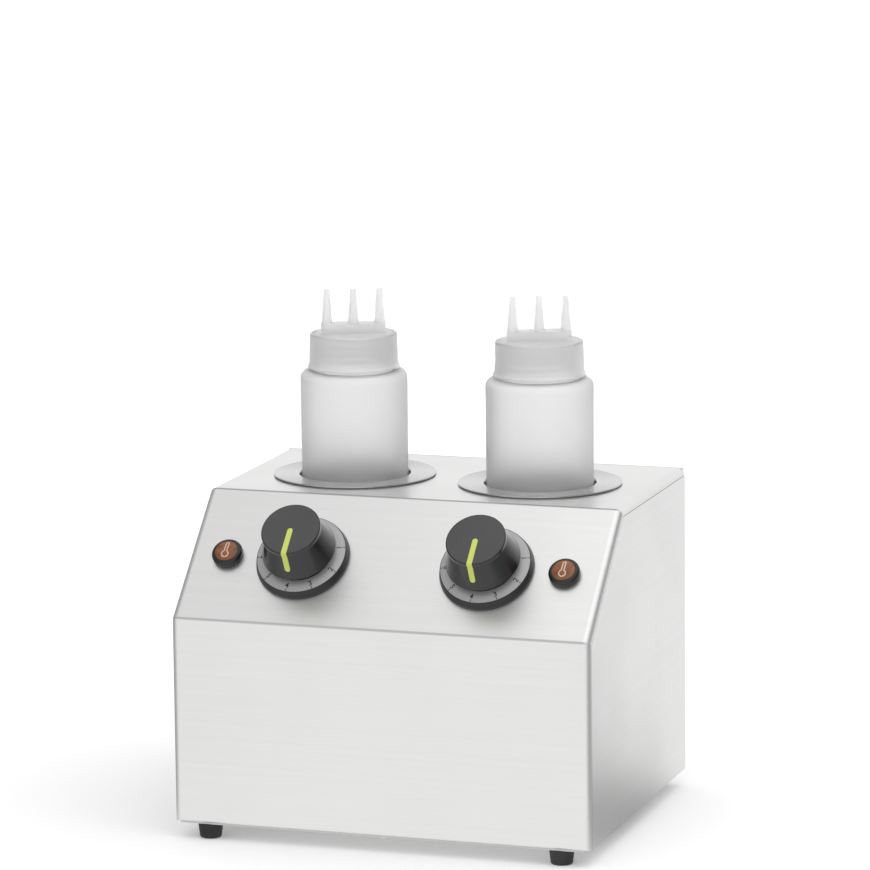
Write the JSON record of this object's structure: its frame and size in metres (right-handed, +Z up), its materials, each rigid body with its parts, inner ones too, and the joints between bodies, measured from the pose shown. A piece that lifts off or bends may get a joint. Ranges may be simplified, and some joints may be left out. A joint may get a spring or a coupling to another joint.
{
  "type": "hot fudge topping warmer",
  "caption": "Countertop warmer in folded stainless sheet with two heated wells for squeeze bottles, sloped control panel, dial knobs and pilot lamps.",
  "frame": {"origin": "centre of the bounding box in plan, on the surface that the feet stand on", "axes": "+Z up, +X to the right seen from the front, +Y from the front to the back; metres"},
  "size_m": [0.3, 0.2611, 0.3646],
  "materials": {
    "brushed_stainless": "fine brushed stainless sheet",
    "plain_steel": "plain satin sheet",
    "drawn_stainless": "satin, turned grain",
    "screws": "zinc plated",
    "rubber": "matt",
    "gasket": "silicone, matt",
    "heater_band": "mica band heater in a steel jacket",
    "ceramic": "steatite and phenolic",
    "copper": "copper tube",
    "black_plastic": "satin black",
    "knob_plastic": "satin black phenolic",
    "dial_silver": "satin silver foil",
    "lime_plastic": "satin lime green",
    "amber_lens": "frosted amber",
    "gland_plastic": "matt nylon",
    "ivory_plastic": "matt nylon",
    "wire": "silicone-sleeved wire",
    "bottle_plastic": "translucent milky polyethylene"
  },
  "bodies": {
    "casing": {"front_wrap": "brushed_stainless", "side_panel_left": "brushed_stainless", "side_panel_right": "brushed_stainless", "rear_panel": "brushed_stainless", "base_plate": "plain_steel", "panel_screws": "screws", "foot_front_left": "rubber", "foot_front_right": "rubber", "foot_rear_left": "rubber", "foot_rear_right": "rubber", "foot_screws": "screws", "foot_nuts": "screws", "well_left": "drawn_stainless", "well_right": "drawn_stainless", "well_gasket_left": "gasket", "well_gasket_right": "gasket", "well_nuts": "screws", "heater_left": "heater_band", "heater_right": "heater_band", "heater_clamp_screws": "screws", "thermal_cutout_left": "ceramic", "thermal_cutout_right": "ceramic", "thermostat_left": "ceramic", "thermostat_right": "ceramic", "thermostat_screws": "screws", "capillary_left": "copper", "capillary_right": "copper", "bulb_clip_left": "screws", "bulb_clip_right": "screws", "dial_base_left": "black_plastic", "dial_base_right": "black_plastic", "dial_ring_left": "dial_silver", "dial_ring_right": "dial_silver", "lamp_body_left": "black_plastic", "lamp_body_right": "black_plastic", "lamp_lens_left": "amber_lens", "lamp_lens_right": "amber_lens", "lamp_nuts": "black_plastic", "cable_gland": "gland_plastic", "gland_cap": "gland_plastic", "gland_seal": "rubber", "gland_nut": "gland_plastic", "terminal_block": "ivory_plastic", "terminal_screws": "screws", "earth_stud": "screws", "wiring": "wire"},
    "knob_left": {"knob_left": "knob_plastic", "pointer_left": "lime_plastic", "thermostat_shaft_left": "screws"},
    "bottle_left": {"bottle_left": "bottle_plastic"},
    "cap_left": {"nozzle_cap_left": "bottle_plastic"},
    "knob_right": {"knob_right": "knob_plastic", "pointer_right": "lime_plastic", "thermostat_shaft_right": "screws"},
    "bottle_right": {"bottle_right": "bottle_plastic"},
    "cap_right": {"nozzle_cap_right": "bottle_plastic"}
  },
  "joints": [
    {"name": "knob_left_turn", "type": "hinge", "parent": "casing", "child": "knob_left", "pos_m": [-0.0663, -0.09087, 0.19317], "axis": [0, -0.6887, 0.725], "range_deg": [-81, 142]},
    {"name": "knob_right_turn", "type": "hinge", "parent": "casing", "child": "knob_right", "pos_m": [0.0663, -0.09087, 0.19317], "axis": [0, -0.6887, 0.725], "range_deg": [-81, 142]},
    {"name": "bottle_left_lift", "type": "slide", "parent": "casing", "child": "bottle_left", "axis": [0, 0, 1], "range_m": [0, 0.2]},
    {"name": "bottle_right_lift", "type": "slide", "parent": "casing", "child": "bottle_right", "axis": [0, 0, 1], "range_m": [0, 0.2]},
    {"name": "cap_left_lift", "type": "slide", "parent": "bottle_left", "child": "cap_left", "axis": [0, 0, 1], "range_m": [0, 0.04]},
    {"name": "cap_right_lift", "type": "slide", "parent": "bottle_right", "child": "cap_right", "axis": [0, 0, 1], "range_m": [0, 0.04]}
  ]
}
